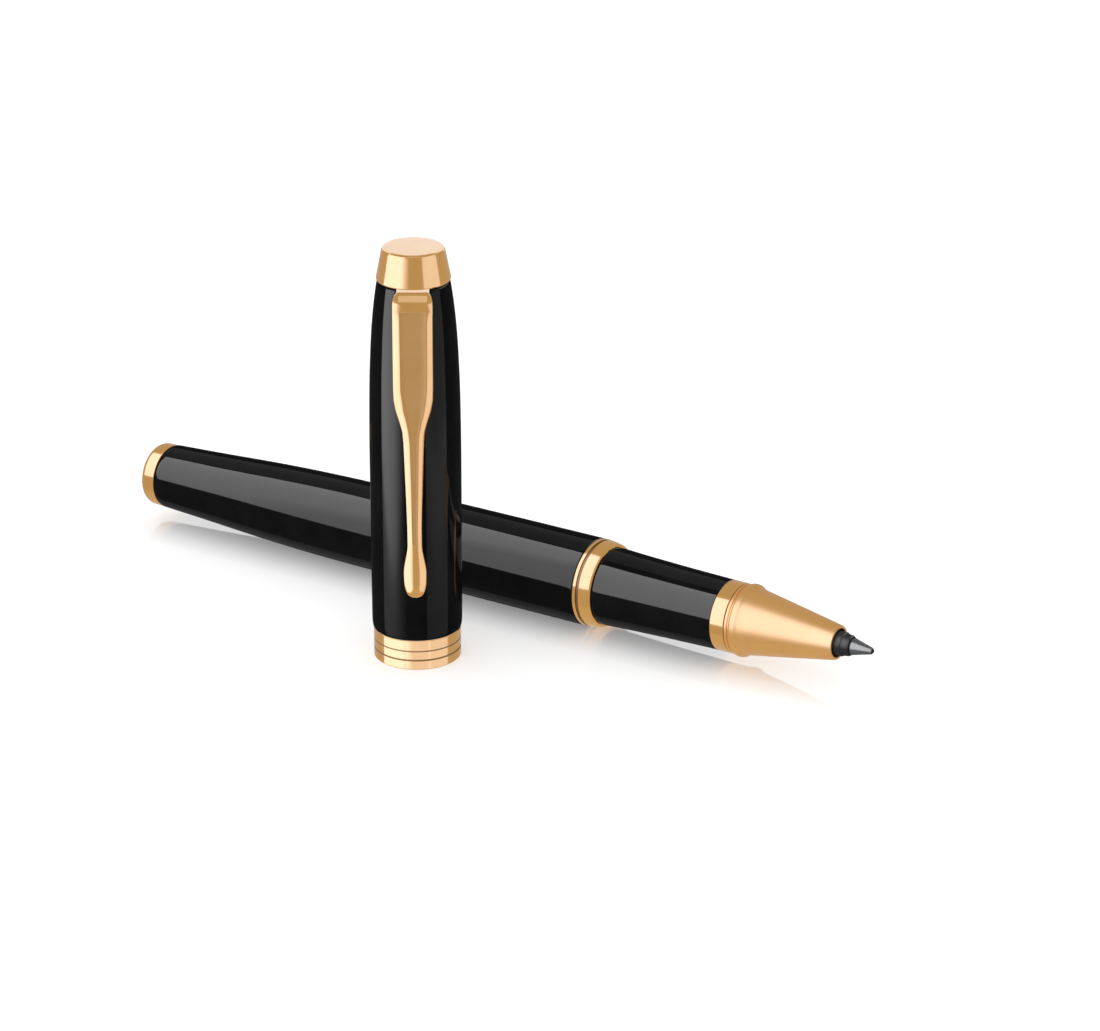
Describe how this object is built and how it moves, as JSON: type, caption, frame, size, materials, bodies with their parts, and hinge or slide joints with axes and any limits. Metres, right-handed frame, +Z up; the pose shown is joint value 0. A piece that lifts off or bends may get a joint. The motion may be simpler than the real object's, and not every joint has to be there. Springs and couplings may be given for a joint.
{
  "type": "rollerball pen",
  "caption": "Slim capped rollerball pen, uncapped: gloss black barrel and grip with gold trim lying beside its upright gloss black cap with a tapering gold clip.",
  "frame": {"origin": "middle of the footprint of the whole row, on the surface that the pen and its cap rest on", "axes": "+X along the pen body towards the writing tip, +Y from the standing cap towards the pen body, +Z up"},
  "size_m": [0.1224, 0.0367, 0.06],
  "materials": {
    "black_lacquer": "deep gloss black lacquer",
    "polished_gold": "polished warm gold plating",
    "satin_gold": "satin warm gold plating",
    "brass_inside": "turned brass",
    "spring_steel": "drawn steel",
    "tip_steel": "fine turned stainless steel",
    "ball_carbide": "polished dark carbide",
    "black_plastic": "moulded black plastic",
    "refill_plastic": "smooth dark grey plastic",
    "rubber_seal": "matt black rubber",
    "ink_fibre": "ink soaked fibre"
  },
  "bodies": {
    "barrel": {"barrel_shell": "black_lacquer", "barrel_end_cap": "polished_gold", "barrel_thread_insert": "brass_inside", "refill_spring": "spring_steel"},
    "seal_ring": {"section_o_ring": "rubber_seal"},
    "trim_ring": {"trim_ring": "polished_gold"},
    "section": {"section_thread_sleeve": "brass_inside", "section_grip": "black_lacquer", "section_front_ring": "polished_gold", "nose_cone": "satin_gold"},
    "refill": {"refill_tube": "refill_plastic", "refill_tail_plug": "black_plastic", "ink_reservoir": "ink_fibre", "refill_feed": "ink_fibre", "refill_nose": "black_plastic", "refill_tip": "tip_steel"},
    "ball": {"writing_ball": "ball_carbide"},
    "cap": {"cap_shell": "black_lacquer", "cap_band": "polished_gold", "cap_liner": "black_plastic", "cap_finial": "polished_gold", "finial_stud": "spring_steel", "finial_nut": "brass_inside"},
    "clip": {"clip": "polished_gold"}
  },
  "joints": [
    {"name": "section_pull", "type": "slide", "parent": "barrel", "child": "seal_ring", "axis": [1, 0, 0], "range_m": [0, 0.065]},
    {"name": "thread_travel", "type": "slide", "parent": "seal_ring", "child": "trim_ring", "axis": [1, 0, 0], "range_m": [0, 0.0033]},
    {"name": "section_unscrew", "type": "hinge", "parent": "trim_ring", "child": "section", "pos_m": [0.01575, 0.01202, 0.00631], "axis": [1, 0, 0], "range_deg": [0, 1440]},
    {"name": "refill_float", "type": "slide", "parent": "section", "child": "refill", "axis": [1, 0, 0], "range_m": [-0.001, 0], "stiffness_N_per_m": 300, "springref_m": 0.001, "deforming": ["refill_spring"]},
    {"name": "ball_roll", "type": "hinge", "parent": "refill", "child": "ball", "pos_m": [0.06085, 0.01202, 0.00631], "axis": [0, 1, 0], "continuous": true},
    {"name": "cap_lift", "type": "slide", "parent": "barrel", "child": "cap", "axis": [0, 0, 1], "range_m": [0, 0.045]},
    {"name": "clip_flex", "type": "hinge", "parent": "cap", "child": "clip", "pos_m": [0.00346, -0.01434, 0.0547], "axis": [-0.8406, -0.5417, 0], "range_deg": [0, 4], "stiffness_Nm_per_rad": 0.4}
  ],
  "couplings": [
    {"joint": "thread_travel", "follows": "section_unscrew", "m_per_rad": 0.00012732}
  ]
}
